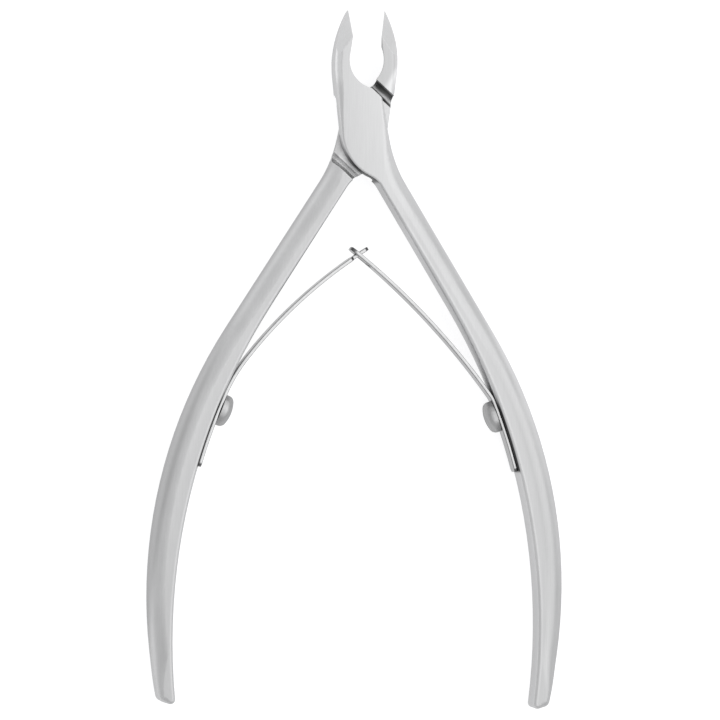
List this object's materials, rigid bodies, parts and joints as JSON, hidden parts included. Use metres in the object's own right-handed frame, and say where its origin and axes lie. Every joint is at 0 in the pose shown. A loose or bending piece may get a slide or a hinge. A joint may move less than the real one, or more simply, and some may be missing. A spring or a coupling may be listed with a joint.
{
  "type": "cuticle nipper",
  "caption": "Steel cuticle nipper: crossed half-lap levers with slim pointed jaws, bowed handles and interlocking leaf springs that hold it open.",
  "frame": {"origin": "middle of the tool's length and width, on the surface it lies on", "axes": "+Y along the tool towards the cutting tips, +Z out of the front face of the joint, +X to the right seen from the front"},
  "size_m": [0.0718, 0.1199, 0.007],
  "materials": {
    "satin_steel": "satin",
    "spring_steel": "polished",
    "screw_steel": "satin"
  },
  "bodies": {
    "back_half": {"back_lever": "satin_steel", "left_spring": "spring_steel", "left_spring_screw": "screw_steel"},
    "front_half": {"front_lever": "satin_steel", "right_spring": "spring_steel", "right_spring_screw": "screw_steel", "pivot_screw": "screw_steel"}
  },
  "joints": [
    {"name": "pivot", "type": "hinge", "parent": "back_half", "child": "front_half", "pos_m": [0, 0.03915, 0.0035], "axis": [0, 0, -1], "range_deg": [0, 17.1], "stiffness_Nm_per_rad": 1.2, "deforming": ["left_spring", "right_spring"]}
  ]
}
